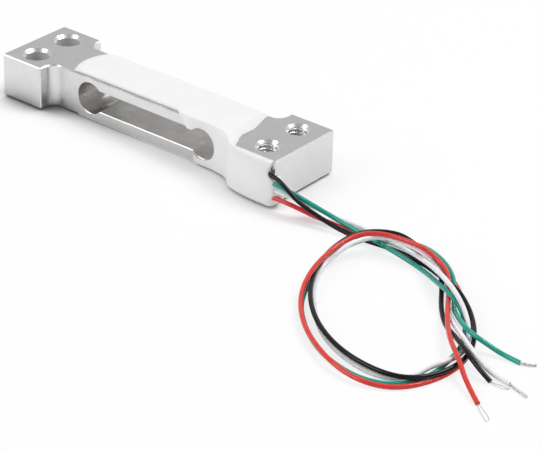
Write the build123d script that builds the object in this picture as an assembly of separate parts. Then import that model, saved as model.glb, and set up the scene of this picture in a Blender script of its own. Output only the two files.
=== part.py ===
from build123d import *
import math
import os

# Small bending-beam weighing load cell with four loose wires.
# Sizes are in millimetres. The beam's own frame has X along the beam, +X at the wired end, and
# z = 0 on the beam's underside. PLACE moves it so that the floor is z = 0 and the origin is under
# the middle of everything but the wires.

# Beam
BEAM_LENGTH = 47.0
BEAM_WIDTH = 12.0
BEAM_HEIGHT = 6.0
BLOCK_LENGTH = 6.9
WAIST_WIDTH = 7.2
WAIST_CORNER = 1.5
EDGE_BREAK = 0.15
END = BEAM_LENGTH / 2
FACE = BEAM_WIDTH / 2
STEP = END - BLOCK_LENGTH
WAIST = WAIST_WIDTH / 2

# Holes in the end blocks
HOLE_INSET = 3.5
HOLE_X = END - HOLE_INSET
HOLE_SPACING = 6.0
CLEAR_HOLE = 3.2
CLEAR_MOUTH = 4.0
TAP_HOLE = 2.5
TAP_MOUTH = 3.4

# Dog-bone slot, two round ends joined by a narrower gap
SLOT_INSET = 6.8
SLOT_X = STEP - SLOT_INSET
SLOT_RADIUS = 2.2
SLOT_GAP = 3.0

# Strain gauges, one over and one under each round end of the slot
FILM_LENGTH = 5.2
FILM_WIDTH = 3.4
FILM_THICK = 0.06
GRID_THICK = 0.03
GRID_LEGS = 10
LEG_WIDTH = 0.12
LEG_PITCH = 0.24
LEG_LENGTH = 2.4
TAB_LENGTH = 0.9
TAB_WIDTH = 0.6

# Terminal board on the near face of the wired block
BOARD_START = END - 6.3
BOARD_END = END - 0.6
BOARD_LOW = 0.6
BOARD_HIGH = 5.4
BOARD_THICK = 0.12
PAD_LENGTH = 1.6
PAD_HEIGHT = 0.7
PAD_THICK = 0.03
PAD_X = END - 4.3

# Potting
COAT = 0.45
BOTTOM_COAT = 0.30
COAT_ROUND = 0.25
SIDE_ROUND = 0.50
EDGE_GAP = 0.20

# Wires
WIRE = 0.60
CORE = 0.30
INSULATION_START = END - 3.1
WIRE_DEPTH = 0.45
WIRE_Y = -FACE - WIRE_DEPTH
WIRE_LEVELS = {"black": 4.45, "green": 3.45, "white": 2.40, "red": 1.40}
REACH = 0.45

# The routes were laid for this end and this near face; they move with both
ROUTE_END = 23.5
ROUTE_FACE = 6.0
ROUTE_SHIFT = Pos(END - ROUTE_END, ROUTE_FACE - FACE, 0)

PLACE = Pos(-0.60, 0.55, BOTTOM_COAT)

os.makedirs("parts", exist_ok=True)


def save(node, shape):
    export_step(shape, "parts/" + node + ".step")


# Beam

def slot_space(width):
    round_end = Rot(90, 0, 0) * Cylinder(SLOT_RADIUS, width)
    gap = Box(2 * SLOT_X, width, SLOT_GAP)
    middle = Pos(0, 0, BEAM_HEIGHT / 2)
    return middle * (gap + Pos(SLOT_X, 0, 0) * round_end + Pos(-SLOT_X, 0, 0) * round_end)


def bar():
    waist = BEAM_LENGTH - 2 * BLOCK_LENGTH
    step = (BEAM_WIDTH - WAIST_WIDTH) / 2
    notch = Rectangle(waist, step)
    notch_y = (WAIST_WIDTH + step) / 2
    outline = Rectangle(BEAM_LENGTH, BEAM_WIDTH) - Pos(0, notch_y) * notch - Pos(0, -notch_y) * notch
    inner = [v for v in outline.vertices() if abs(abs(v.Y) - WAIST_WIDTH / 2) < 0.01]
    outline = fillet(inner, WAIST_CORNER)
    solid = extrude(outline, BEAM_HEIGHT)
    levels = solid.edges().group_by(Axis.Z)
    upright = [e for e in solid.edges().filter_by(Axis.Z) if abs(e.center().Y) > BEAM_WIDTH / 2 - 0.01]
    return chamfer(levels[0] + levels[-1] + upright, EDGE_BREAK)


def bore(diameter, mouth):
    depth = (mouth - diameter) / 2
    hole = Pos(0, 0, BEAM_HEIGHT / 2) * Cylinder(diameter / 2, BEAM_HEIGHT)
    top = Pos(0, 0, BEAM_HEIGHT - depth / 2) * Cone(diameter / 2, mouth / 2, depth)
    bottom = Pos(0, 0, depth / 2) * Cone(mouth / 2, diameter / 2, depth)
    return hole + top + bottom


def beam():
    solid = bar() - slot_space(BEAM_WIDTH)
    for side in (-1, 1):
        y = side * HOLE_SPACING / 2
        solid -= Pos(-HOLE_X, y, 0) * bore(CLEAR_HOLE, CLEAR_MOUTH)
        solid -= Pos(HOLE_X, y, 0) * bore(TAP_HOLE, TAP_MOUTH)
    return solid


# Strain gauges: a rounded backing film, and on it a folded foil grid with two tabs

def gauge_film():
    return extrude(RectangleRounded(FILM_LENGTH, FILM_WIDTH, 0.3), FILM_THICK)


def gauge_grid():
    first = -(GRID_LEGS - 1) / 2 * LEG_PITCH
    leg = Rectangle(LEG_LENGTH, LEG_WIDTH)
    turn = Rectangle(LEG_WIDTH, LEG_PITCH + LEG_WIDTH)
    turn_x = (LEG_LENGTH - LEG_WIDTH) / 2
    flat = Sketch()
    for i in range(GRID_LEGS):
        flat += Pos(0, first + i * LEG_PITCH) * leg
    for i in range(GRID_LEGS - 1):
        end = turn_x if i % 2 == 0 else -turn_x
        flat += Pos(end, first + (i + 0.5) * LEG_PITCH) * turn
    tab = Rectangle(TAB_LENGTH, TAB_WIDTH)
    tab_x = -(LEG_LENGTH + TAB_LENGTH) / 2
    tab_y = -first + LEG_WIDTH / 2 - TAB_WIDTH / 2
    flat += Pos(tab_x, tab_y) * tab
    flat += Pos(tab_x, -tab_y) * tab
    return extrude(flat, GRID_THICK)


def gauge_place(upper, x):
    turned = Rot(0, 0, 180) if x > 0 else Rot(0, 0, 0)
    if upper:
        return Pos(x, 0, BEAM_HEIGHT) * turned
    return Pos(x, 0, 0) * Rot(180, 0, 0) * turned


# Terminal board with its pads, and the solder that holds the wire ends

def terminal_board():
    length = BOARD_END - BOARD_START
    height = BOARD_HIGH - BOARD_LOW
    plate = Box(length, BOARD_THICK, height)
    plate = fillet(plate.edges().filter_by(Axis.Y), 0.3)
    y = -(BEAM_WIDTH + BOARD_THICK) / 2
    return Pos((BOARD_START + BOARD_END) / 2, y, (BOARD_LOW + BOARD_HIGH) / 2) * plate


def pad_face():
    return -BEAM_WIDTH / 2 - BOARD_THICK


def terminal_pads():
    pad = Box(PAD_LENGTH, PAD_THICK, PAD_HEIGHT)
    pads = Part()
    for z in WIRE_LEVELS.values():
        pads += Pos(PAD_X, pad_face() - PAD_THICK / 2, z) * pad
    return pads


def solder_joint(z):
    back = pad_face() - PAD_THICK
    depth = back - (WIRE_Y - CORE / 2) + 0.06
    mound = Box(1.3, depth, 0.62)
    rounded = [e for e in mound.edges() if e.center().Y < depth / 2 - 0.001]
    mound = fillet(rounded, 0.14)
    mound_x = PAD_X + 0.05
    core_length = INSULATION_START - mound_x
    core = Rot(0, 90, 0) * Cylinder(CORE / 2, core_length)
    core = Pos(mound_x + core_length / 2, WIRE_Y, z) * core
    return Pos(mound_x, back - depth / 2, z) * mound + core


def solder_joints():
    joints = Part()
    for z in WIRE_LEVELS.values():
        joints += solder_joint(z)
    return joints


# Potting: a slab over the waist that runs down the near side, and a mound over the terminal board

def slab_outline():
    edge_y = WAIST - EDGE_GAP
    shelf = FACE - WAIST
    left_x = -STEP + 3.8
    left = ThreePointArc((left_x, -edge_y), (left_x - 1.1, 0), (left_x, edge_y))
    far = Line((left_x, edge_y), (STEP - 1.7, edge_y))
    right = Spline([(STEP - 1.7, edge_y), (STEP - 1.25, 1.2), (STEP - 0.6, -1.5), (STEP - 0.65, 0.5 - WAIST),
                    (STEP - 0.1, -WAIST - 0.46 * shelf), (STEP + 0.4, 0.2 - FACE)])
    close = Line((STEP + 0.4, 0.2 - FACE), (STEP + 0.1, -0.4 - FACE))
    near = Spline([(STEP + 0.1, -0.4 - FACE), (STEP - 0.8, 0.1 - FACE), (STEP - 2.0, -WAIST - 0.52 * shelf),
                   (STEP - 4.0, -0.55 - WAIST), (SLOT_X - 0.8, -0.4 - WAIST), (SLOT_X - 3.6, -0.25 - WAIST),
                   (SLOT_X - 4.5, -edge_y)])
    edge = Line((SLOT_X - 4.5, -edge_y), (left_x, -edge_y))
    return make_face([left, far, right, close, near, edge])


def mound_outline():
    outer = Spline([(STEP - 0.8, -FACE), (STEP + 1.0, -0.6 - FACE), (END - 3.5, -0.95 - FACE),
                    (END - 0.7, -1.0 - FACE), (END + 0.7, -0.65 - FACE), (END + 1.25, 0.1 - FACE),
                    (END + 1.05, 0.8 - FACE), (END + 0.4, 1.1 - FACE)])
    inner = Polyline((END + 0.4, 1.1 - FACE), (END - 0.3, 1.1 - FACE), (END - 0.3, 0.4 - FACE),
                     (STEP - 0.8, 0.4 - FACE), (STEP - 0.8, -FACE))
    return make_face([outer, inner])


def side_profile():
    gap_low = (BEAM_HEIGHT - SLOT_GAP) / 2
    gap_high = (BEAM_HEIGHT + SLOT_GAP) / 2
    above = BEAM_HEIGHT + 1
    below = -0.5
    left = Polyline((SLOT_X - 4.6, above), (SLOT_X - 4.4, above - 0.7), (SLOT_X - 3.4, BEAM_HEIGHT - 0.45),
                    (SLOT_X - 2.8, BEAM_HEIGHT - 1.0), (SLOT_X - 2.5, gap_high), (SLOT_X - 1.35, gap_low),
                    (SLOT_X - 1.3, 0.6), (SLOT_X - 0.9, below))
    low = Line((SLOT_X - 0.9, below), (END, below))
    right = Spline([(END, below), (END + 0.9, 0.3), (END + 1.3, 1.4), (END + 0.9, BEAM_HEIGHT / 2 + 0.3),
                    (END - 0.4, BEAM_HEIGHT - 1.1), (END - 0.1, BEAM_HEIGHT + 0.1), (END, above)])
    top = Line((END, above), (SLOT_X - 4.6, above))
    flat = make_face([left, low, right, top])
    upright = Plane(origin=(0, 0, 0), x_dir=(1, 0, 0), z_dir=(0, -1, 0)) * flat
    return extrude(upright, BEAM_WIDTH)


def potting(metal, inside):
    slab = extrude(slab_outline(), BEAM_HEIGHT + COAT)
    rim = [e for e in slab.edges().group_by(Axis.Z)[-1] if e.length > 1]
    slab = fillet(rim, COAT_ROUND)
    mound = extrude(mound_outline(), BEAM_HEIGHT + 0.05)
    outer = [e for e in mound.edges().group_by(Axis.Z)[-1] if e.center().Y < -FACE]
    mound = fillet(outer, SIDE_ROUND)
    over = Pos(0, 0, 1.5 * BEAM_HEIGHT - 0.1) * Box(BEAM_LENGTH, 2 * BEAM_WIDTH, BEAM_HEIGHT)
    body = (slab & over) + ((slab + mound) & side_profile()) - metal - slot_space(2 * BEAM_WIDTH)
    for piece in inside:
        body -= piece
    return body


def underside_coat(inside):
    start = -STEP + 3.6
    stop = STEP - 0.6
    outline = RectangleRounded(stop - start, WAIST_WIDTH - 2 * EDGE_GAP, 1.2)
    plate = extrude(Pos((start + stop) / 2, 0) * outline, -BOTTOM_COAT)
    plate = fillet(plate.edges().group_by(Axis.Z)[0], 0.4 * BOTTOM_COAT)
    for piece in inside:
        plate -= piece
    return plate


# Wires: straight runs joined by tangent arcs, in the placed frame.
# The points rise and dip where one wire lies over another, which takes more of them than the curl alone.

BLACK = [
    (19.80, -5.90, 4.75), (21.90, -5.90, 4.75), (23.90, -5.95, 4.50), (25.30, -6.10, 3.85), (26.70, -6.00, 2.80),
    (28.45, -5.80, 1.95), (30.60, -5.55, 1.25), (32.90, -5.40, 0.70), (35.35, -5.15, 0.35), (37.80, -4.80, 0.30),
    (39.90, -4.50, 0.30), (42.20, -4.50, 0.30), (44.40, -4.75, 0.30), (46.90, -5.65, 0.70), (49.50, -7.30, 1.35),
    (51.90, -8.60, 1.95), (53.75, -9.20, 1.70), (55.40, -10.05, 1.25), (57.40, -11.65, 1.00), (59.55, -14.10, 0.95),
    (61.20, -16.65, 0.95), (62.20, -19.30, 0.95), (62.35, -21.60, 0.95), (62.00, -23.90, 0.95), (61.05, -26.00, 0.95),
    (59.60, -27.55, 1.00), (57.40, -28.30, 1.00), (54.50, -28.35, 1.00), (51.40, -27.80, 1.00), (48.10, -26.55, 1.00),
    (44.80, -24.55, 1.00), (41.95, -22.05, 1.00), (39.65, -19.25, 1.00), (37.80, -16.20, 1.00), (36.60, -13.15, 1.05),
    (36.15, -10.30, 1.40), (36.25, -7.10, 1.60), (37.10, -4.95, 1.65), (38.70, -3.35, 1.55), (40.55, -2.80, 1.60),
    (42.20, -2.75, 1.30), (43.90, -3.05, 1.00), (46.20, -4.10, 0.95), (47.85, -4.95, 0.50), (49.50, -6.45, 0.30),
    (51.10, -8.75, 0.30), (52.70, -11.10, 0.30), (54.40, -13.20, 0.30), (56.30, -15.05, 0.45), (58.50, -16.50, 0.80),
    (60.90, -18.60, 1.60), (63.30, -20.20, 1.60), (65.10, -20.80, 0.95), (66.55, -21.00, 0.30),
]

GREEN = [
    (19.80, -5.90, 3.75), (21.90, -5.90, 3.75), (23.90, -5.85, 3.60), (25.20, -5.65, 3.20), (26.50, -5.35, 2.90),
    (28.30, -4.85, 2.20), (30.55, -4.50, 1.55), (32.75, -4.35, 1.05), (35.15, -4.55, 0.95), (37.75, -4.95, 0.95),
    (40.40, -5.45, 0.95), (42.70, -5.50, 0.60), (45.00, -5.80, 0.40), (47.90, -6.95, 0.60), (51.05, -9.15, 1.40),
    (53.30, -10.45, 1.85), (55.00, -11.20, 1.45), (56.70, -12.25, 0.95), (58.10, -13.80, 0.45), (59.35, -15.90, 0.30),
    (60.20, -18.20, 0.30), (60.60, -20.70, 0.30), (60.90, -23.50, 0.30), (60.45, -26.10, 0.30), (59.35, -28.10, 0.30),
    (57.50, -29.35, 0.30), (55.10, -29.75, 0.30), (52.40, -29.50, 0.30), (49.55, -28.65, 0.30), (46.40, -27.05, 0.30),
    (43.30, -24.70, 0.30), (40.75, -22.05, 0.30), (38.80, -19.05, 0.30), (37.30, -16.05, 0.30), (36.30, -13.25, 0.30),
    (36.25, -11.30, 0.55), (36.85, -9.60, 1.10), (37.60, -7.90, 1.55), (38.50, -6.10, 1.75), (39.60, -4.70, 1.92),
    (40.60, -2.90, 0.80), (41.70, -1.75, 0.35), (43.30, -1.45, 0.30), (45.55, -2.20, 0.50), (48.20, -3.85, 0.90),
    (50.60, -5.80, 1.00), (52.10, -7.60, 0.80), (53.20, -9.05, 0.35), (54.20, -10.70, 0.35), (55.30, -12.10, 0.85),
    (56.60, -13.45, 1.35), (58.20, -14.80, 1.65), (59.95, -15.85, 1.75), (61.45, -16.10, 1.55), (62.80, -15.85, 1.00),
    (64.45, -15.60, 0.40), (66.40, -15.60, 0.30),
]

WHITE = [
    (19.80, -5.90, 2.70), (21.90, -5.90, 2.70), (23.90, -5.80, 2.65), (25.40, -5.55, 2.50), (26.80, -5.00, 2.15),
    (28.35, -4.10, 1.45), (30.20, -3.30, 0.70), (32.15, -2.80, 0.30), (34.50, -2.85, 0.40), (37.10, -3.75, 0.95),
    (39.20, -4.25, 0.95), (41.15, -4.45, 0.95), (43.20, -4.85, 1.05), (45.30, -5.55, 1.25), (47.40, -6.50, 1.65),
    (49.85, -7.95, 2.25), (52.45, -9.60, 2.60), (54.45, -10.75, 2.35), (56.25, -11.80, 1.75), (58.00, -13.30, 1.20),
    (59.45, -15.05, 0.80), (60.50, -17.00, 0.50), (61.35, -19.85, 0.85), (61.05, -22.30, 1.15), (60.20, -23.80, 0.80),
    (59.65, -25.40, 0.35), (58.80, -27.10, 0.30), (57.20, -28.25, 0.30), (54.50, -28.45, 0.30), (51.40, -28.00, 0.30),
    (48.15, -26.80, 0.30), (44.90, -24.75, 0.30), (42.10, -21.90, 0.30), (39.85, -18.75, 0.30), (38.10, -15.70, 0.40),
    (37.40, -13.45, 0.95), (37.70, -11.30, 1.65), (38.05, -8.95, 2.20), (39.00, -6.95, 2.30), (40.45, -5.85, 2.30),
    (42.15, -5.50, 2.25), (44.05, -5.45, 2.20), (45.65, -5.15, 1.90), (47.25, -5.35, 1.35), (48.85, -6.00, 1.06),
    (50.45, -6.88, 0.76), (52.10, -8.70, 0.40), (53.40, -10.75, 0.30), (54.90, -12.60, 0.50), (56.70, -14.35, 0.95),
    (58.70, -16.10, 1.40), (60.60, -17.60, 1.70), (62.40, -18.80, 1.70), (64.10, -19.45, 1.00), (66.00, -19.65, 0.35),
    (67.95, -19.75, 0.30),
]

RED = [
    (19.80, -5.90, 1.70), (22.20, -5.90, 1.70), (24.40, -5.85, 1.65), (26.10, -5.70, 1.50), (27.75, -5.25, 1.05),
    (29.50, -4.65, 0.55), (31.50, -4.30, 0.30), (33.70, -4.25, 0.30), (35.70, -4.20, 0.30), (37.60, -3.90, 0.30),
    (39.45, -3.70, 0.30), (41.35, -3.60, 0.30), (43.45, -3.55, 0.30), (45.55, -3.60, 0.30), (47.40, -3.90, 0.30),
    (49.60, -4.95, 0.30), (52.05, -6.75, 0.30), (54.25, -8.75, 0.30), (56.50, -10.80, 0.30), (58.65, -13.00, 0.30),
    (60.50, -15.45, 0.30), (61.70, -18.35, 0.30), (62.15, -21.10, 0.30), (62.00, -23.70, 0.30), (61.25, -26.15, 0.30),
    (60.10, -28.20, 0.30), (58.50, -29.70, 0.35), (56.40, -30.75, 0.60), (53.80, -30.80, 0.75), (50.85, -30.10, 0.95),
    (47.45, -28.40, 0.95), (44.15, -26.10, 0.95), (41.20, -23.15, 0.95), (38.90, -19.70, 1.10), (37.90, -16.80, 1.65),
    (37.30, -13.85, 1.90), (37.00, -10.70, 2.10), (37.55, -8.15, 2.25), (38.70, -6.20, 2.35), (40.55, -5.10, 2.40),
    (42.85, -4.75, 2.40), (44.95, -4.65, 2.40), (46.85, -4.70, 2.00), (48.30, -5.10, 1.55), (49.90, -6.10, 1.48),
    (51.75, -8.10, 1.25), (53.15, -10.20, 1.10), (54.75, -12.75, 1.25), (56.60, -15.40, 1.25), (59.30, -18.60, 1.50),
    (62.70, -21.65, 1.80), (65.05, -23.60, 0.80), (68.05, -25.60, 0.30),
]

ROUTES = {"black": BLACK, "green": GREEN, "white": WHITE, "red": RED}

# Stripped ends: each goes on from its wire's last point
TIPS = {
    "black": [(66.55, -21.00, 0.30), (66.84, -21.04, 0.17), (67.75, -20.80, 0.15), (68.80, -20.62, 0.15)],
    "green": [(66.40, -15.60, 0.30), (66.79, -15.60, 0.28), (67.30, -15.27, 0.17), (68.00, -15.12, 0.15),
              (68.47, -14.68, 0.15)],
    "white": [(67.95, -19.75, 0.30), (68.34, -19.77, 0.29), (68.85, -20.08, 0.17), (69.75, -20.40, 0.15),
              (71.45, -20.88, 0.15)],
    "red": [(68.05, -25.60, 0.30), (68.50, -25.90, 0.225), (69.24, -26.45, 0.15), (70.70, -27.62, 0.15)],
}


def corner_radii(points):
    radii = []
    for a, b, c in zip(points, points[1:], points[2:]):
        run_in = Vector(*b) - Vector(*a)
        run_out = Vector(*c) - Vector(*b)
        half_turn = math.radians(run_in.get_angle(run_out)) / 2
        radii.append(REACH * min(run_in.length, run_out.length) / math.tan(half_turn))
    return radii


def tube(name, points, diameter):
    radii = corner_radii(points)
    path = FilletPolyline(*points, radius=radii)
    section = Plane(origin=path @ 0, z_dir=path % 0) * Circle(diameter / 2)
    solid = sweep(section, path=path)
    share = solid.volume / (path.length * math.pi * diameter ** 2 / 4)
    print(name, "length", round(path.length, 2), "volume share", round(share, 4))
    print("  arc radii", [round(r, 1) for r in radii])
    return solid


# Everything, one file a node

metal = beam()
save("beam", PLACE * metal)

above = []
below = []
for level, group in (("top", above), ("bottom", below)):
    for side, x in (("left", -SLOT_X), ("right", SLOT_X)):
        spot = gauge_place(level == "top", x)
        film = spot * gauge_film()
        grid = spot * Pos(0, 0, FILM_THICK) * gauge_grid()
        save("gauge_carrier_" + level + "_" + side, PLACE * film)
        save("gauge_grid_" + level + "_" + side, PLACE * grid)
        group += [film, grid]

board = terminal_board()
save("terminal_board", PLACE * board)
pads = terminal_pads()
save("terminal_pads", PLACE * pads)
joints = solder_joints()
save("solder_joints", PLACE * joints)

wires = []
for colour, route in ROUTES.items():
    wire = tube("wire_" + colour, route, WIRE)
    save("wire_" + colour, ROUTE_SHIFT * wire)
    wires.append(PLACE.inverse() * ROUTE_SHIFT * wire)
    save("tip_" + colour, ROUTE_SHIFT * tube("tip_" + colour, TIPS[colour], CORE))

save("silicone_main", PLACE * potting(metal, above + [board, pads, joints] + wires))
save("silicone_underside", PLACE * underside_coat(below))
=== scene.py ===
import math

import bmesh
import bpy
from mathutils import Matrix, Vector


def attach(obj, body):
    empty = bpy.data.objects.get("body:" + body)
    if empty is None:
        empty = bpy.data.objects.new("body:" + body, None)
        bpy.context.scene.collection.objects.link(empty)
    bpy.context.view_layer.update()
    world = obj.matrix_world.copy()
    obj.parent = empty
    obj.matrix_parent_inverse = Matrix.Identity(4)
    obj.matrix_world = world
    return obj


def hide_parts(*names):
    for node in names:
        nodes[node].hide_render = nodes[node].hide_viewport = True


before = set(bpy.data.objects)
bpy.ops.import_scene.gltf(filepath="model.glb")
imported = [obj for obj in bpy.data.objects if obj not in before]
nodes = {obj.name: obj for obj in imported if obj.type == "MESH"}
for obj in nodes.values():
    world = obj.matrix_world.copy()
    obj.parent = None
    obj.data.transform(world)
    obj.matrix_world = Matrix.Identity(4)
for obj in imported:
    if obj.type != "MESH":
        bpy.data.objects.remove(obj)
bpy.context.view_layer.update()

# Camera
# Placed by a fit of the beam's corners and holes to the photograph; the whole frame is 540 x 450.

TARGET = Vector((0.02914, -0.01389, 0.00330))
CAMERA_AZIMUTH = math.radians(38.4297)
CAMERA_ELEVATION = math.radians(29.1196)
CAMERA_ROLL = math.radians(1.6018)
CAMERA_DISTANCE = 0.2947
LENS = 163.077

camera_data = bpy.data.cameras.new("camera")
camera_data.sensor_width = 36.0
camera_data.lens = LENS
camera_data.clip_start = 0.01
camera_data.clip_end = 20.0
camera = bpy.data.objects.new("camera", camera_data)
bpy.context.collection.objects.link(camera)
away = Vector((
    math.sin(CAMERA_AZIMUTH) * math.cos(CAMERA_ELEVATION),
    -math.cos(CAMERA_AZIMUTH) * math.cos(CAMERA_ELEVATION),
    math.sin(CAMERA_ELEVATION),
))
level = (-away).to_track_quat("-Z", "Y").to_matrix()
roll = Matrix.Rotation(CAMERA_ROLL, 3, "Z")
camera.matrix_world = Matrix.Translation(TARGET + away * CAMERA_DISTANCE) @ (level @ roll).to_4x4()
bpy.context.scene.camera = camera


# Materials
# Helpers that mix the procedural materials; every pattern is laid out in metres of its object.

def new_material(name, colour, roughness, metallic=0.0):
    material = bpy.data.materials.new(name)
    material.use_nodes = True
    shader = material.node_tree.nodes["Principled BSDF"]
    shader.inputs["Base Color"].default_value = (*colour, 1)
    shader.inputs["Roughness"].default_value = roughness
    shader.inputs["Metallic"].default_value = metallic
    return material, shader


def add_node(material, kind, **values):
    node = material.node_tree.nodes.new(kind)
    for name, value in values.items():
        if name in node.inputs:
            node.inputs[name].default_value = value
        else:
            setattr(node, name, value)
    return node


def join(material, out_socket, in_socket):
    material.node_tree.links.new(out_socket, in_socket)


def noise_field(material, scale, stretch=(1, 1, 1), detail=3.0, roughness=0.5):
    place = add_node(material, "ShaderNodeTexCoord")
    size = add_node(material, "ShaderNodeMapping")
    size.inputs["Scale"].default_value = stretch
    grain = add_node(material, "ShaderNodeTexNoise", Scale=scale, Detail=detail, Roughness=roughness)
    join(material, place.outputs["Object"], size.inputs["Vector"])
    join(material, size.outputs["Vector"], grain.inputs["Vector"])
    return grain.outputs["Fac"]


def spread(material, field, low, high, start=0.3, end=0.7):
    ramp = add_node(material, "ShaderNodeMapRange")
    ramp.inputs["From Min"].default_value = start
    ramp.inputs["From Max"].default_value = end
    ramp.inputs["To Min"].default_value = low
    ramp.inputs["To Max"].default_value = high
    join(material, field, ramp.inputs["Value"])
    return ramp.outputs["Result"]


def two_tone(material, field, first, second, start=0.3, end=0.7):
    ramp = add_node(material, "ShaderNodeValToRGB")
    ramp.color_ramp.elements[0].position = start
    ramp.color_ramp.elements[0].color = (*first, 1)
    ramp.color_ramp.elements[1].position = end
    ramp.color_ramp.elements[1].color = (*second, 1)
    join(material, field, ramp.inputs["Fac"])
    return ramp.outputs["Color"]


def raise_bump(material, shader, field, height, strength=1.0):
    bump = add_node(material, "ShaderNodeBump", Strength=strength, Distance=height)
    join(material, field, bump.inputs["Height"])
    join(material, bump.outputs["Normal"], shader.inputs["Normal"])
    return bump


def set_material(thing, material):
    thing.data.materials.clear()
    thing.data.materials.append(material)


def combined(material, operation, first, second):
    both = add_node(material, "ShaderNodeMath", operation=operation)
    join(material, first, both.inputs[0])
    join(material, second, both.inputs[1])
    return both.outputs["Value"]


def place_axes(material):
    place = add_node(material, "ShaderNodeTexCoord")
    split = add_node(material, "ShaderNodeSeparateXYZ")
    join(material, place.outputs["Object"], split.inputs["Vector"])
    return split.outputs


# Wires
# Four limp stranded wires, 0.6 mm over the insulation, each from its pad on the board to its bare
# end. They run out together, curl once round and lie over each other on the floor.

WIRE_DIAMETER = 0.0006

BLACK = [
    (0.01980, -0.00590, 0.00475), (0.02190, -0.00590, 0.00475), (0.02390, -0.00595, 0.00450),
    (0.02530, -0.00610, 0.00385), (0.02670, -0.00600, 0.00280), (0.02845, -0.00580, 0.00195),
    (0.03060, -0.00555, 0.00125), (0.03290, -0.00540, 0.00070), (0.03535, -0.00515, 0.00035),
    (0.03780, -0.00480, 0.00030), (0.03990, -0.00450, 0.00030), (0.04220, -0.00450, 0.00030),
    (0.04440, -0.00475, 0.00030), (0.04690, -0.00565, 0.00070), (0.04950, -0.00730, 0.00135),
    (0.05190, -0.00860, 0.00195), (0.05375, -0.00920, 0.00170), (0.05540, -0.01005, 0.00125),
    (0.05740, -0.01165, 0.00100), (0.05955, -0.01410, 0.00095), (0.06120, -0.01665, 0.00095),
    (0.06220, -0.01930, 0.00095), (0.06235, -0.02160, 0.00095), (0.06200, -0.02390, 0.00095),
    (0.06105, -0.02600, 0.00095), (0.05960, -0.02755, 0.00100), (0.05740, -0.02830, 0.00100),
    (0.05450, -0.02835, 0.00100), (0.05140, -0.02780, 0.00100), (0.04810, -0.02655, 0.00100),
    (0.04480, -0.02455, 0.00100), (0.04195, -0.02205, 0.00100), (0.03965, -0.01925, 0.00100),
    (0.03780, -0.01620, 0.00100), (0.03660, -0.01315, 0.00105), (0.03615, -0.01030, 0.00140),
    (0.03625, -0.00710, 0.00160), (0.03710, -0.00495, 0.00165), (0.03870, -0.00335, 0.00155),
    (0.04055, -0.00280, 0.00160), (0.04220, -0.00275, 0.00130), (0.04390, -0.00305, 0.00100),
    (0.04620, -0.00410, 0.00095), (0.04785, -0.00495, 0.00050), (0.04950, -0.00645, 0.00030),
    (0.05110, -0.00875, 0.00030), (0.05270, -0.01110, 0.00030), (0.05440, -0.01320, 0.00030),
    (0.05630, -0.01505, 0.00045), (0.05850, -0.01650, 0.00080), (0.06090, -0.01860, 0.00160),
    (0.06330, -0.02020, 0.00160), (0.06510, -0.02080, 0.00095), (0.06655, -0.02100, 0.00030),
]

GREEN = [
    (0.01980, -0.00590, 0.00375), (0.02190, -0.00590, 0.00375), (0.02390, -0.00585, 0.00360),
    (0.02520, -0.00565, 0.00320), (0.02650, -0.00535, 0.00290), (0.02830, -0.00485, 0.00220),
    (0.03055, -0.00450, 0.00155), (0.03275, -0.00435, 0.00105), (0.03515, -0.00455, 0.00095),
    (0.03775, -0.00495, 0.00095), (0.04040, -0.00545, 0.00095), (0.04270, -0.00550, 0.00060),
    (0.04500, -0.00580, 0.00040), (0.04790, -0.00695, 0.00060), (0.05105, -0.00915, 0.00140),
    (0.05330, -0.01045, 0.00185), (0.05500, -0.01120, 0.00145), (0.05670, -0.01225, 0.00095),
    (0.05810, -0.01380, 0.00045), (0.05935, -0.01590, 0.00030), (0.06020, -0.01820, 0.00030),
    (0.06060, -0.02070, 0.00030), (0.06090, -0.02350, 0.00030), (0.06045, -0.02610, 0.00030),
    (0.05935, -0.02810, 0.00030), (0.05754, -0.02944, 0.00030), (0.05511, -0.03003, 0.00030),
    (0.05235, -0.02978, 0.00030), (0.04942, -0.02897, 0.00030), (0.04618, -0.02724, 0.00030),
    (0.04310, -0.02480, 0.00030), (0.04055, -0.02215, 0.00030), (0.03880, -0.01905, 0.00030),
    (0.03730, -0.01605, 0.00030), (0.03630, -0.01325, 0.00030), (0.03625, -0.01130, 0.00055),
    (0.03685, -0.00960, 0.00110), (0.03760, -0.00790, 0.00155), (0.03850, -0.00610, 0.00175),
    (0.03960, -0.00470, 0.00192), (0.04060, -0.00290, 0.00080), (0.04170, -0.00175, 0.00035),
    (0.04330, -0.00145, 0.00030), (0.04555, -0.00220, 0.00050), (0.04820, -0.00385, 0.00090),
    (0.05060, -0.00580, 0.00100), (0.05210, -0.00760, 0.00080), (0.05320, -0.00905, 0.00035),
    (0.05420, -0.01070, 0.00035), (0.05530, -0.01210, 0.00085), (0.05660, -0.01345, 0.00135),
    (0.05820, -0.01480, 0.00165), (0.05995, -0.01585, 0.00175), (0.06145, -0.01610, 0.00155),
    (0.06280, -0.01585, 0.00100), (0.06445, -0.01560, 0.00040), (0.06685, -0.01561, 0.00030),
]

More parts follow.
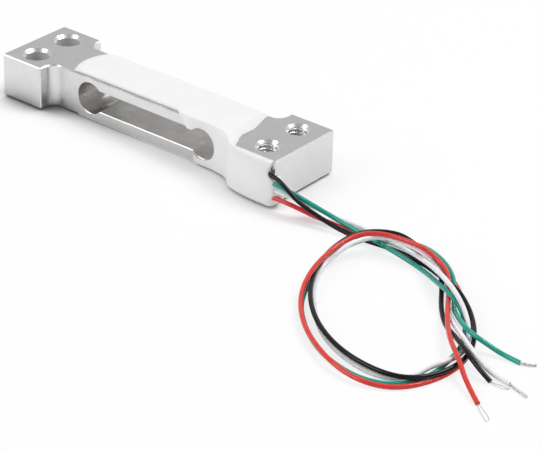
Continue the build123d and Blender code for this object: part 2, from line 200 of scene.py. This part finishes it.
WHITE = [
    (0.01980, -0.00590, 0.00270), (0.02190, -0.00590, 0.00270), (0.02390, -0.00580, 0.00265),
    (0.02540, -0.00555, 0.00250), (0.02680, -0.00500, 0.00215), (0.02835, -0.00410, 0.00145),
    (0.03020, -0.00330, 0.00070), (0.03215, -0.00280, 0.00030), (0.03450, -0.00285, 0.00040),
    (0.03710, -0.00375, 0.00095), (0.03920, -0.00425, 0.00095), (0.04115, -0.00425, 0.00095),
    (0.04320, -0.00460, 0.00105), (0.04530, -0.00530, 0.00125), (0.04740, -0.00635, 0.00165),
    (0.04985, -0.00795, 0.00225), (0.05245, -0.00960, 0.00260), (0.05445, -0.01075, 0.00235),
    (0.05625, -0.01180, 0.00175), (0.05800, -0.01330, 0.00120), (0.05945, -0.01505, 0.00080),
    (0.06050, -0.01700, 0.00050), (0.06135, -0.01985, 0.00085), (0.06105, -0.02230, 0.00115),
    (0.06020, -0.02380, 0.00080), (0.05965, -0.02540, 0.00035), (0.05880, -0.02710, 0.00030),
    (0.05720, -0.02825, 0.00030), (0.05450, -0.02845, 0.00030), (0.05150, -0.02785, 0.00030),
    (0.04830, -0.02660, 0.00030), (0.04510, -0.02455, 0.00030), (0.04235, -0.02175, 0.00030),
    (0.03975, -0.01880, 0.00030), (0.03795, -0.01565, 0.00035), (0.03730, -0.01340, 0.00090),
    (0.03760, -0.01120, 0.00165), (0.03805, -0.00895, 0.00220), (0.03900, -0.00660, 0.00225),
    (0.04045, -0.00545, 0.00225), (0.04215, -0.00510, 0.00220), (0.04405, -0.00505, 0.00215),
    (0.04565, -0.00495, 0.00185), (0.04725, -0.00535, 0.00135), (0.04885, -0.00600, 0.00106),
    (0.05045, -0.00688, 0.00076), (0.05210, -0.00870, 0.00040), (0.05340, -0.01075, 0.00030),
    (0.05490, -0.01260, 0.00050), (0.05670, -0.01435, 0.00095), (0.05870, -0.01610, 0.00140),
    (0.06060, -0.01760, 0.00170), (0.06240, -0.01880, 0.00170), (0.06410, -0.01945, 0.00100),
    (0.06620, -0.01980, 0.00035), (0.06855, -0.02002, 0.00030),
]

RED = [
    (0.01980, -0.00590, 0.00170), (0.02220, -0.00590, 0.00170), (0.02440, -0.00585, 0.00165),
    (0.02610, -0.00570, 0.00150), (0.02775, -0.00525, 0.00105), (0.02950, -0.00465, 0.00055),
    (0.03150, -0.00430, 0.00030), (0.03370, -0.00425, 0.00030), (0.03570, -0.00420, 0.00030),
    (0.03760, -0.00390, 0.00030), (0.03945, -0.00330, 0.00030), (0.04135, -0.00290, 0.00030),
    (0.04345, -0.00280, 0.00030), (0.04555, -0.00300, 0.00030), (0.04740, -0.00365, 0.00030),
    (0.04960, -0.00495, 0.00030), (0.05205, -0.00675, 0.00030), (0.05425, -0.00875, 0.00030),
    (0.05650, -0.01080, 0.00030), (0.05865, -0.01300, 0.00030), (0.06050, -0.01545, 0.00030),
    (0.06170, -0.01835, 0.00030), (0.06215, -0.02110, 0.00030), (0.06200, -0.02370, 0.00030),
    (0.06125, -0.02615, 0.00030), (0.06010, -0.02820, 0.00030), (0.05850, -0.02970, 0.00035),
    (0.05640, -0.03075, 0.00060), (0.05380, -0.03080, 0.00075), (0.05085, -0.03010, 0.00095),
    (0.04745, -0.02840, 0.00095), (0.04415, -0.02610, 0.00095), (0.04120, -0.02315, 0.00095),
    (0.03890, -0.01970, 0.00110), (0.03790, -0.01680, 0.00165), (0.03730, -0.01385, 0.00190),
    (0.03700, -0.01070, 0.00210), (0.03750, -0.00830, 0.00245), (0.03860, -0.00670, 0.00275),
    (0.04050, -0.00565, 0.00282), (0.04285, -0.00535, 0.00282), (0.04495, -0.00520, 0.00280),
    (0.04685, -0.00510, 0.00230), (0.04830, -0.00525, 0.00170), (0.04990, -0.00610, 0.00148),
    (0.05175, -0.00810, 0.00125), (0.05315, -0.01020, 0.00110), (0.05475, -0.01275, 0.00125),
    (0.05660, -0.01540, 0.00125), (0.05930, -0.01860, 0.00150), (0.06270, -0.02165, 0.00180),
    (0.06505, -0.02360, 0.00080), (0.06805, -0.02560, 0.00030),
]

# Route, length, node, material slot, colour and share of gloss of each wire
WIRES = {
    "black": (BLACK, 0.1345, "wire_black", "black_insulation", (0.002, 0.002, 0.0025), 0.35),
    "green": (GREEN, 0.1322, "wire_green", "green_insulation", (0.0, 0.335, 0.255), 0.9),
    "white": (WHITE, 0.1283, "wire_white", "white_insulation", (0.84, 0.84, 0.875), 0.4),
    "red": (RED, 0.1382, "wire_red", "red_insulation", (0.70, 0.04, 0.03), 0.7),
}


def insulation_material(name, colour, gloss):
    material, shader = new_material(name, colour, 0.32)
    shader.inputs["Specular IOR Level"].default_value = 0.15
    shader.inputs["Coat Weight"].default_value = gloss
    shader.inputs["Coat Roughness"].default_value = 0.07
    lighter = tuple(min(1.0, c * 1.12 + 0.004) for c in colour)
    tone = two_tone(material, noise_field(material, 900.0, detail=4.0), colour, lighter)
    join(material, tone, shader.inputs["Base Color"])
    join(material, spread(material, noise_field(material, 2600.0), 0.27, 0.40), shader.inputs["Roughness"])
    raise_bump(material, shader, noise_field(material, 4200.0, detail=2.0), 0.00001, 0.25)
    return material


def smooth_curve(name, routes, thickness, steps=6, round_steps=4):
    curve = bpy.data.curves.new(name, "CURVE")
    curve.dimensions = "3D"
    curve.bevel_depth = thickness / 2
    curve.bevel_resolution = round_steps
    curve.use_fill_caps = True
    for points in routes:
        spline = curve.splines.new("NURBS")
        spline.points.add(len(points) - 1)
        for spot, place in zip(spline.points, points):
            spot.co = (*place, 1.0)
        spline.order_u = 3
        spline.use_endpoint_u = True
        spline.resolution_u = steps
    thing = bpy.data.objects.new(name, curve)
    bpy.context.collection.objects.link(thing)
    return thing


# Stripped ends
# Fine tinned strands: twisted on the green and the white wire, on the red and the black one two
# that have parted.

TWIST_TURNS = 1.2
TWIST_RADIUS = 0.5

# Number of twisted strands, 0 where they have parted; thickness of a strand; routes
TIPS = {
    "black": (0, 0.00010, [
        [(0.06655, -0.02100, 0.00034), (0.06690, -0.02104, 0.00024), (0.06775, -0.02068, 0.00016),
         (0.06868, -0.02060, 0.00014), (0.06888, -0.02064, 0.00016)],
        [(0.06655, -0.02100, 0.00026), (0.06680, -0.02112, 0.00012), (0.06755, -0.02110, 0.00010),
         (0.06840, -0.02104, 0.00010), (0.06886, -0.02070, 0.00012)],
    ]),
    "green": (3, 0.00020, [
        [(0.06685, -0.01561, 0.00030), (0.06715, -0.01556, 0.00028), (0.06755, -0.01527, 0.00022),
         (0.06805, -0.01510, 0.00022), (0.06847, -0.01468, 0.00022)],
    ]),
    "white": (3, 0.00020, [
        [(0.06855, -0.02002, 0.00030), (0.06885, -0.02008, 0.00028), (0.06925, -0.02022, 0.00021),
         (0.07010, -0.02046, 0.00021), (0.07128, -0.02084, 0.00021)],
    ]),
    "red": (0, 0.00009, [
        [(0.06811, -0.02552, 0.00030), (0.06868, -0.02586, 0.00022), (0.06960, -0.02632, 0.00014),
         (0.07040, -0.02684, 0.00012), (0.07078, -0.02740, 0.00012), (0.07066, -0.02764, 0.00012)],
        [(0.06799, -0.02568, 0.00030), (0.06838, -0.02606, 0.00020), (0.06922, -0.02668, 0.00012),
         (0.06998, -0.02720, 0.00010), (0.07044, -0.02762, 0.00010), (0.07068, -0.02762, 0.00012)],
    ]),
}

tin, tin_shader = new_material("tin", (0.70, 0.70, 0.70), 0.34, 1.0)
join(tin, spread(tin, noise_field(tin, 5200.0, detail=2.0), 0.3, 0.5), tin_shader.inputs["Roughness"])
raise_bump(tin, tin_shader, noise_field(tin, 3600.0), 0.00001, 0.4)


def curve_points(route):
    guide = smooth_curve("guide", [route], 0.0, 8)
    mesh = bpy.data.meshes.new_from_object(guide.evaluated_get(bpy.context.evaluated_depsgraph_get()))
    points = [vert.co.copy() for vert in mesh.vertices]
    bpy.data.meshes.remove(mesh)
    bpy.data.curves.remove(guide.data)
    return points


def twisted(route, strands, radius):
    points = curve_points(route)
    last = len(points) - 1
    routes = []
    for k in range(strands):
        strand = []
        for i, point in enumerate(points):
            ahead = points[min(i + 1, last)] - points[max(i - 1, 0)]
            side = ahead.cross(Vector((0, 0, 1))).normalized()
            up = side.cross(ahead).normalized()
            angle = 2 * math.pi * (k / strands + TWIST_TURNS * i / last)
            strand.append(point + (side * math.cos(angle) + up * math.sin(angle)) * radius)
        routes.append(strand)
    return routes


def bare_tip(colour):
    strands, thickness, routes = TIPS[colour]
    if strands:
        routes = twisted(routes[0], strands, thickness * TWIST_RADIUS)
    tip = smooth_curve("bare_" + colour, routes, thickness, 4, 2)
    set_material(tip, tin)
    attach(tip, "root")
    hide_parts("tip_" + colour)
    return tip


for colour, (route, length, node, slot, tone, gloss) in WIRES.items():
    wire = smooth_curve("insulation_" + colour, [route], WIRE_DIAMETER)
    set_material(wire, insulation_material(slot, tone, gloss))
    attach(wire, "root")
    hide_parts(node)
    tip = bare_tip(colour)

# Beam
# One milled aluminium bar, clean but not polished: faint cutter marks on its sides, broken edges,
# smooth screw holes at the fixed end and M3 threads at the wired end.

BEAM_MIDDLE_X = -0.0006
BEAM_MIDDLE_Y = 0.00055
BEAM_TOP = 0.0063
HOLES = [(x, y) for x in (-0.0206, 0.0194) for y in (-0.00245, 0.00355)]
HOLE_REACH = 0.0021

THREADED_HOLES = [(x, y) for x, y in HOLES if x > BEAM_MIDDLE_X]
THREAD_PITCH = 0.0005
THREAD_CORE = 0.00125
THREAD_SLACK = 0.00002
THREAD_DEPTH = 0.00027
THREAD_GROOVE = 0.78
THREAD_LOW = -0.0001
THREAD_HIGH = 0.0067
THREAD_FADE = 0.0003
THREAD_END = BEAM_TOP - 0.0002
THREAD_MOUTH = 0.00172
THREAD_STEPS = 40
THREAD_ROWS_PER_TURN = 10

SLOT_RIM = 0.00007
SLOT_END = 0.0121
SLOT_HALF_HEIGHT = 0.00225
SLOT_MIDDLE_Z = 0.0033


def limited(value):
    return max(0.0, min(1.0, value))


def thread_radius(z, turn):
    phase = (z / THREAD_PITCH - turn) % 1.0
    groove = max(0.0, 1.0 - abs(2 * phase - 1) / THREAD_GROOVE)
    groove *= limited((THREAD_END - z) / THREAD_FADE)
    return max(THREAD_CORE - THREAD_SLACK + groove * THREAD_DEPTH, THREAD_MOUTH - (BEAM_TOP - z))


def thread_cutter(x, y):
    rows = round((THREAD_HIGH - THREAD_LOW) / THREAD_PITCH * THREAD_ROWS_PER_TURN)
    points = []
    faces = []
    for row in range(rows + 1):
        z = THREAD_LOW + (THREAD_HIGH - THREAD_LOW) * row / rows
        for step in range(THREAD_STEPS):
            angle = 2 * math.pi * step / THREAD_STEPS
            radius = thread_radius(z, step / THREAD_STEPS)
            points.append((x + radius * math.cos(angle), y + radius * math.sin(angle), z))
    for row in range(rows):
        for step in range(THREAD_STEPS):
            a = row * THREAD_STEPS + step
            b = row * THREAD_STEPS + (step + 1) % THREAD_STEPS
            faces.append((a, b, b + THREAD_STEPS, a + THREAD_STEPS))
    faces.append(tuple(reversed(range(THREAD_STEPS))))
    faces.append(tuple(range(rows * THREAD_STEPS, (rows + 1) * THREAD_STEPS)))
    mesh = bpy.data.meshes.new("thread_cutter")
    mesh.from_pydata(points, [], faces)
    mesh.update()
    cutter = bpy.data.objects.new("thread_cutter", mesh)
    bpy.context.collection.objects.link(cutter)
    return cutter


def applied_mesh(thing, name):
    graph = bpy.context.evaluated_depsgraph_get()
    graph.update()
    mesh = bpy.data.meshes.new_from_object(thing.evaluated_get(graph))
    mesh.name = name
    return mesh


def dressed_copy(name, source):
    copy = bpy.data.objects.new(name, source.data.copy())
    bpy.context.collection.objects.link(copy)
    copy.matrix_world = source.matrix_world
    return copy


def delete(thing):
    data = thing.data
    bpy.data.objects.remove(thing)
    if data.users == 0:
        bpy.data.meshes.remove(data)


def weld(mesh, distance=1e-7):
    work = bmesh.new()
    work.from_mesh(mesh)
    bmesh.ops.remove_doubles(work, verts=work.verts, dist=distance)
    work.to_mesh(mesh)
    work.free()


def soft_shade(mesh, angle):
    if "custom_normal" in mesh.attributes:
        mesh.attributes.remove(mesh.attributes["custom_normal"])
    for face in mesh.polygons:
        face.use_smooth = True
    mesh.set_sharp_from_angle(angle=math.radians(angle))


def cut_thread(bar, x, y):
    cutter = thread_cutter(x, y)
    cut = bar.modifiers.new("thread", "BOOLEAN")
    cut.operation = "DIFFERENCE"
    cut.solver = "EXACT"
    cut.object = cutter
    threaded = applied_mesh(bar, "bar")
    bar.modifiers.clear()
    bar.data = threaded
    delete(cutter)


def in_slot(place):
    along = abs(place.x - BEAM_MIDDLE_X)
    aside = abs(place.z - SLOT_MIDDLE_Z)
    return along < SLOT_END and aside < SLOT_HALF_HEIGHT


def is_slot_rim(edge):
    if len(edge.link_faces) != 2 or not all(in_slot(vert.co) for vert in edge.verts):
        return False
    turned = sorted(abs(face.normal.y) for face in edge.link_faces)
    return turned[0] < 0.1 and turned[1] > 0.99


# The wire-cut slot has its rims rubbed down
def rub_slot_rims(mesh):
    work = bmesh.new()
    work.from_mesh(mesh)
    rims = [edge for edge in work.edges if is_slot_rim(edge)]
    bmesh.ops.bevel(work, geom=rims, offset=SLOT_RIM, segments=1, affect="EDGES")
    work.to_mesh(mesh)
    work.free()


def aluminium(name, dark, light, smooth, rough, bump):
    material, shader = new_material(name, light, smooth, 1.0)
    tone = two_tone(material, noise_field(material, 420.0, (1, 1, 1), 5.0, 0.6), dark, light)
    join(material, tone, shader.inputs["Base Color"])
    grain = noise_field(material, 1400.0, (0.25, 1, 1), 4.0)
    join(material, spread(material, grain, smooth, rough), shader.inputs["Roughness"])
    raise_bump(material, shader, noise_field(material, 2200.0, (0.3, 1, 1), 5.0), 0.00002, bump)
    return material


# Painted shade: the slot's colour is darkened deep inside, in its round ends and towards the fixed end, and
# lightened a little at its near side
def paint_slot_shade(material):
    shader = material.node_tree.nodes["Principled BSDF"]
    tone = shader.inputs["Base Color"].links[0].from_socket
    axes = place_axes(material)
    from_middle = add_node(material, "ShaderNodeMath", operation="ABSOLUTE")
    join(material, axes["X"], from_middle.inputs[0])
    shade = spread(material, axes["Y"], 1.06, 0.84, -0.0025, 0.0010)
    near_fixed_end = spread(material, axes["X"], 0.87, 1.0, -0.012, 0.002)
    round_end = spread(material, from_middle.outputs["Value"], 1.0, 0.86, 0.0072, 0.0092)
    for share in (near_fixed_end, round_end):
        shade = combined(material, "MULTIPLY", shade, share)
    slot_shaded = add_node(material, "ShaderNodeVectorMath", operation="SCALE")
    join(material, tone, slot_shaded.inputs[0])
    join(material, shade, slot_shaded.inputs["Scale"])
    join(material, slot_shaded.outputs["Vector"], shader.inputs["Base Color"])


# Name, dark and light colour, smooth and rough roughness, bump
BEAM_MATERIALS = [
    ("aluminium", (0.74, 0.74, 0.74), (0.79, 0.79, 0.79), 0.27, 0.35, 0.03),
    ("cut_aluminium", (0.62, 0.605, 0.59), (0.80, 0.785, 0.77), 0.26, 0.40, 0.2),
    ("turned_aluminium", (0.84, 0.84, 0.85), (0.90, 0.90, 0.91), 0.22, 0.32, 0.03),
    ("bored_aluminium", (0.80, 0.80, 0.81), (0.92, 0.92, 0.93), 0.30, 0.45, 0.05),
    # The last material is a painted shadow: a dark strip for the shade under the skin's rim
    ("painted_rim_shadow", (0.30, 0.30, 0.31), (0.40, 0.40, 0.41), 0.40, 0.50, 0.05),
]
MILLED, CUT, TURNED, BORED, PAINTED_RIM_SHADOW = range(5)
BORE_METALLIC = 0.7
# Where the painted shadow under the skin's rim lies along the waist's top edge
WAIST_SIDE = -0.0030
WAIST_SIDE_REACH = 0.0001
PAINTED_RIM_SHADOW_LOW = 0.0060
PAINTED_RIM_SHADOW_LEFT = -0.0134
PAINTED_RIM_SHADOW_RIGHT = 0.0140


# Faces of the slot are wire-cut, darker in tone and darker still by painted shade, holes and their mouths
# are turned and shinier, and on the waist's edge beside the skin the shadow under the skin's rim is painted
# as a dark strip
def finish_of(face):
    place = face.center
    finish = MILLED
    if in_slot(place) and abs(face.normal.y) < 0.1:
        finish = CUT
    flat_top = abs(face.normal.z) > 0.99
    if not flat_top and min(math.hypot(place.x - x, place.y - y) for x, y in HOLES) < HOLE_REACH:
        finish = BORED if place.x < 0 and abs(face.normal.z) < 0.3 else TURNED
    # Painted shadow under the skin's rim
    if abs(place.y - WAIST_SIDE) < WAIST_SIDE_REACH and PAINTED_RIM_SHADOW_LOW < place.z < BEAM_TOP:
        if PAINTED_RIM_SHADOW_LEFT < place.x < PAINTED_RIM_SHADOW_RIGHT:
            finish = PAINTED_RIM_SHADOW
    return finish


beam = dressed_copy("bar", nodes["beam"])
weld(beam.data)
for x, y in THREADED_HOLES:
    cut_thread(beam, x, y)
rub_slot_rims(beam.data)
soft_shade(beam.data, 28)

beam.data.materials.clear()
for values in BEAM_MATERIALS:
    beam.data.materials.append(aluminium(*values))
# Shade painted into the colour of the slot's faces
paint_slot_shade(beam.data.materials[CUT])
bore_shader = beam.data.materials[BORED].node_tree.nodes["Principled BSDF"]
bore_shader.inputs["Metallic"].default_value = BORE_METALLIC
for face in beam.data.polygons:
    face.material_index = finish_of(face)
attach(beam, "root")
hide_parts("beam")

# Potting
# White silicone laid on by hand: a soft-edged skin over the waist that sags down the near side,
# thickens round the corner and closes over the board and the wires.

VOXEL = 0.00011
EASE_STEPS = 4
RELAX_STEPS = 70

# The block round the wires: its side bulges softly and its foot draws in
BLOCK_LEFT = 0.0163
BLOCK_SIDE = -0.00545
BULGE_FOOT = 0.0042
BULGE_HEIGHT = 0.0023
BULGE_SHARE = 0.75
COAT_FOOT = 0.0226
COAT_FOOT_SHIFT = 0.0008
COAT_FOOT_REACH = 0.0015
COAT_FOOT_HEIGHT = 0.0018

# The inner corner, which is filled and relaxed; the block's rim stays out of it and is lifted
CORNER = Vector((BLOCK_LEFT, -0.0036))
CORNER_SIDE = Vector((0.0062, -0.0024))
CORNER_REACH = 0.0040
CORNER_WEIGHT = 1.6
RIM_SIDE = -0.0051
RIM_LIFT = 0.00010
RIM_DRAW = 0.00008

# The skin on top thins out over the metal; its right edge was laid in a hand-drawn line
SKIN_MARGIN = 0.0014
SKIN_THIN = 0.3
SKIN_LEFT = -0.0134
SKIN_LEFT_BOW = 0.0011
SKIN_HALF_WIDTH = 0.0034
SKIN_RIGHT_BEYOND = 0.015
SKIN_RIGHT = [(-0.0060, 0.0166), (-0.00525, 0.0164), (-0.00415, 0.0159), (-0.00255, 0.01535),
              (-0.00095, 0.0154), (0.00175, 0.01475), (0.0041, 0.0143)]


def silicone_material():
    material, shader = new_material("silicone", (0.88, 0.885, 0.89), 0.38)
    shader.inputs["Subsurface Weight"].default_value = 0.25
    shader.inputs["Subsurface Radius"].default_value = (1.0, 1.0, 1.0)
    shader.inputs["Subsurface Scale"].default_value = 0.0006
    shader.inputs["Specular IOR Level"].default_value = 0.4
    tone = two_tone(material, noise_field(material, 260.0), (0.87, 0.875, 0.88), (0.90, 0.905, 0.91))
    join(material, tone, shader.inputs["Base Color"])
    join(material, spread(material, noise_field(material, 700.0), 0.32, 0.46), shader.inputs["Roughness"])
    raise_bump(material, shader, noise_field(material, 1300.0, detail=2.0), 0.00003, 0.2)
    return material


def share_of(value, full):
    part = limited(value / full)
    return part * part * (3 - 2 * part)


def skin_gap(x, y):
    bow = SKIN_LEFT_BOW * (1 - ((y - BEAM_MIDDLE_Y) / SKIN_HALF_WIDTH) ** 2)
    left = x - SKIN_LEFT + bow
    for (y0, x0), (y1, x1) in zip(SKIN_RIGHT, SKIN_RIGHT[1:]):
        if y0 <= y <= y1:
            return min(left, x0 + (x1 - x0) * (y - y0) / (y1 - y0) - x)
    return min(left, SKIN_RIGHT_BEYOND - x)


def corner_weight(place):
    from_corner = place.xy - CORNER
    along = limited(from_corner.dot(CORNER_SIDE) / CORNER_SIDE.length_squared)
    aside = (from_corner - CORNER_SIDE * along).length
    return limited(CORNER_WEIGHT * (1 - aside / CORNER_REACH))


def shape_potting(mesh, corner_group):
    for vert in mesh.vertices:
        x, y, z = vert.co
        weight = corner_weight(vert.co)
        if x > BLOCK_LEFT and y < RIM_SIDE:
            weight *= 1 - share_of(z - 0.0053, 0.0005)
            vert.co.z += RIM_LIFT * share_of(z - 0.0057, 0.0004)
            vert.co.y += RIM_DRAW * share_of(z - 0.0059, 0.0003)
        corner_group.add([vert.index], weight, "REPLACE")
        if y < BLOCK_SIDE:
            rise = limited((z - BULGE_FOOT) / BULGE_HEIGHT)
            vert.co.y = BLOCK_SIDE + (y - BLOCK_SIDE) * (1 - BULGE_SHARE * rise * rise)
        if z > BEAM_TOP:
            kept = SKIN_THIN + (1 - SKIN_THIN) * share_of(skin_gap(x, y), SKIN_MARGIN)
            vert.co.z = BEAM_TOP + (z - BEAM_TOP) * kept
        near_end = share_of(x - COAT_FOOT, COAT_FOOT_REACH)
        vert.co.x -= COAT_FOOT_SHIFT * near_end * (1 - share_of(z, COAT_FOOT_HEIGHT))


def soften(thing, steps, group=""):
    ease = thing.modifiers.new("ease", "SMOOTH")
    ease.factor = 0.5
    ease.iterations = steps
    ease.vertex_group = group
    softened = applied_mesh(thing, thing.name)
    thing.modifiers.clear()
    thing.data = softened


silicone = silicone_material()
potting = dressed_copy("potting", nodes["silicone_main"])
weld(potting.data)
remesh = potting.modifiers.new("remesh", "REMESH")
remesh.mode = "VOXEL"
remesh.voxel_size = VOXEL
soften(potting, EASE_STEPS)
shape_potting(potting.data, potting.vertex_groups.new(name="corner"))
soften(potting, RELAX_STEPS, "corner")
soft_shade(potting.data, 60)
set_material(potting, silicone)
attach(potting, "root")
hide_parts("silicone_main")

set_material(nodes["silicone_underside"], silicone)

# Gauges, board, pads and solder
# Sealed in the potting: amber film with etched foil, a thin board, plated pads and soldered ends.

film, film_shader = new_material("gauge_film", (0.42, 0.20, 0.035), 0.3)
join(film, two_tone(film, noise_field(film, 900.0), (0.38, 0.17, 0.03), (0.47, 0.24, 0.05)),
     film_shader.inputs["Base Color"])
foil, foil_shader = new_material("gauge_foil", (0.60, 0.56, 0.50), 0.34, 1.0)
join(foil, spread(foil, noise_field(foil, 4000.0, (0.1, 1, 1)), 0.25, 0.45), foil_shader.inputs["Roughness"])
board, board_shader = new_material("board", (0.02, 0.10, 0.04), 0.4)
join(board, two_tone(board, noise_field(board, 2500.0), (0.016, 0.085, 0.033), (0.03, 0.12, 0.05)),
     board_shader.inputs["Base Color"])
copper, copper_shader = new_material("copper", (0.86, 0.48, 0.30), 0.3, 1.0)
join(copper, spread(copper, noise_field(copper, 3000.0), 0.22, 0.4), copper_shader.inputs["Roughness"])

for name, thing in nodes.items():
    if name.startswith("gauge_carrier"):
        set_material(thing, film)
    if name.startswith("gauge_grid"):
        set_material(thing, foil)
set_material(nodes["terminal_board"], board)
set_material(nodes["terminal_pads"], copper)
set_material(nodes["solder_joints"], tin)

# Floor
# White paper, seen by the camera with a little light of its own. A shadow is painted into its colour where
# the bar stands close over it, darkest at the fixed end, and none under the wires.

FLOOR_SIZE = 4.0
BAR_SHADOW_END = 0.022
WIRES_START = 0.034
PAINTED_SHADOW_REACH = 0.004
SHADOW_REACH = 0.012


def floor_material():
    paper, shader = new_material("paper", (0.98, 0.98, 0.98), 0.9)
    shader.inputs["Specular IOR Level"].default_value = 0.1
    axes = place_axes(paper)
    past_bar = spread(paper, axes["X"], 0.0, 1.0, BAR_SHADOW_END, WIRES_START)
    # Painted shadow: the paper's colour darkens with the bar's closeness, most at the fixed end
    foot = add_node(paper, "ShaderNodeAmbientOcclusion", samples=8, Distance=PAINTED_SHADOW_REACH)
    openness = combined(paper, "MAXIMUM", foot.outputs["AO"], past_bar)
    painted_shadow_depth = combined(paper, "POWER", openness, spread(paper, axes["X"], 2.6, 0.4, -0.018, 0.0))
    tone = two_tone(paper, painted_shadow_depth, (0.12, 0.12, 0.12), (0.92, 0.92, 0.92), 0.0, 0.8)
    join(paper, tone, shader.inputs["Base Color"])
    wide = add_node(paper, "ShaderNodeAmbientOcclusion", samples=8, Distance=SHADOW_REACH)
    open_floor = combined(paper, "MAXIMUM", wide.outputs["AO"], past_bar)
    ray = add_node(paper, "ShaderNodeLightPath")
    share = combined(paper, "MULTIPLY", ray.outputs["Is Camera Ray"],
                     spread(paper, open_floor, 0.05, 0.78, 0.45, 0.85))
    glow = add_node(paper, "ShaderNodeEmission", Color=(1, 1, 1, 1))
    cover = add_node(paper, "ShaderNodeMixShader")
    join(paper, share, cover.inputs["Fac"])
    join(paper, shader.outputs["BSDF"], cover.inputs[1])
    join(paper, glow.outputs["Emission"], cover.inputs[2])
    join(paper, cover.outputs["Shader"], paper.node_tree.nodes["Material Output"].inputs["Surface"])
    return paper


bpy.ops.mesh.primitive_plane_add(size=FLOOR_SIZE, location=(0, 0, 0))
floor = bpy.context.object
floor.name = "floor"
set_material(floor, floor_material())

# Light
# A white room, brighter on the far side, with a soft lamp high behind on the right and a weaker
# one low in front on the left. The camera sees plain white behind the object.

SKY_STRENGTH = 0.40
BRIGHT_SIDE = Vector((-0.45, 0.75, 0.45)).normalized()

world = bpy.data.worlds.new("world")
bpy.context.scene.world = world
world.use_nodes = True
world.node_tree.nodes.clear()
where = add_node(world, "ShaderNodeTexCoord")
toward = add_node(world, "ShaderNodeVectorMath", operation="DOT_PRODUCT")
toward.inputs[1].default_value = BRIGHT_SIDE
join(world, where.outputs["Generated"], toward.inputs[0])
brightness = spread(world, toward.outputs["Value"], 0.65, 1.45, -0.5, 0.9)
brightness.node.interpolation_type = "SMOOTHSTEP"
sky = add_node(world, "ShaderNodeBackground", Strength=SKY_STRENGTH)
join(world, brightness, sky.inputs["Color"])
backdrop = add_node(world, "ShaderNodeBackground", Color=(1, 1, 1, 1), Strength=1.0)
path = add_node(world, "ShaderNodeLightPath")
mix = add_node(world, "ShaderNodeMixShader")
out = add_node(world, "ShaderNodeOutputWorld")
join(world, path.outputs["Is Camera Ray"], mix.inputs["Fac"])
join(world, sky.outputs["Background"], mix.inputs[1])
join(world, backdrop.outputs["Background"], mix.inputs[2])
join(world, mix.outputs["Shader"], out.inputs["Surface"])


def soft_lamp(name, place, aim, width, height, power):
    lamp = bpy.data.lights.new(name, "AREA")
    lamp.shape = "RECTANGLE"
    lamp.size = width
    lamp.size_y = height
    lamp.energy = power
    thing = bpy.data.objects.new(name, lamp)
    bpy.context.collection.objects.link(thing)
    thing.location = place
    thing.rotation_euler = (Vector(aim) - Vector(place)).to_track_quat("-Z", "Y").to_euler()
    return thing


soft_lamp("top_lamp", (0.18, 0.20, 0.42), (0.03, -0.01, 0), 0.24, 0.24, 1.3)
soft_lamp("front_lamp", (-0.20, -0.32, 0.27), (0.02, -0.01, 0), 0.30, 0.30, 0.88)

bpy.context.scene.view_settings.view_transform = "Standard"
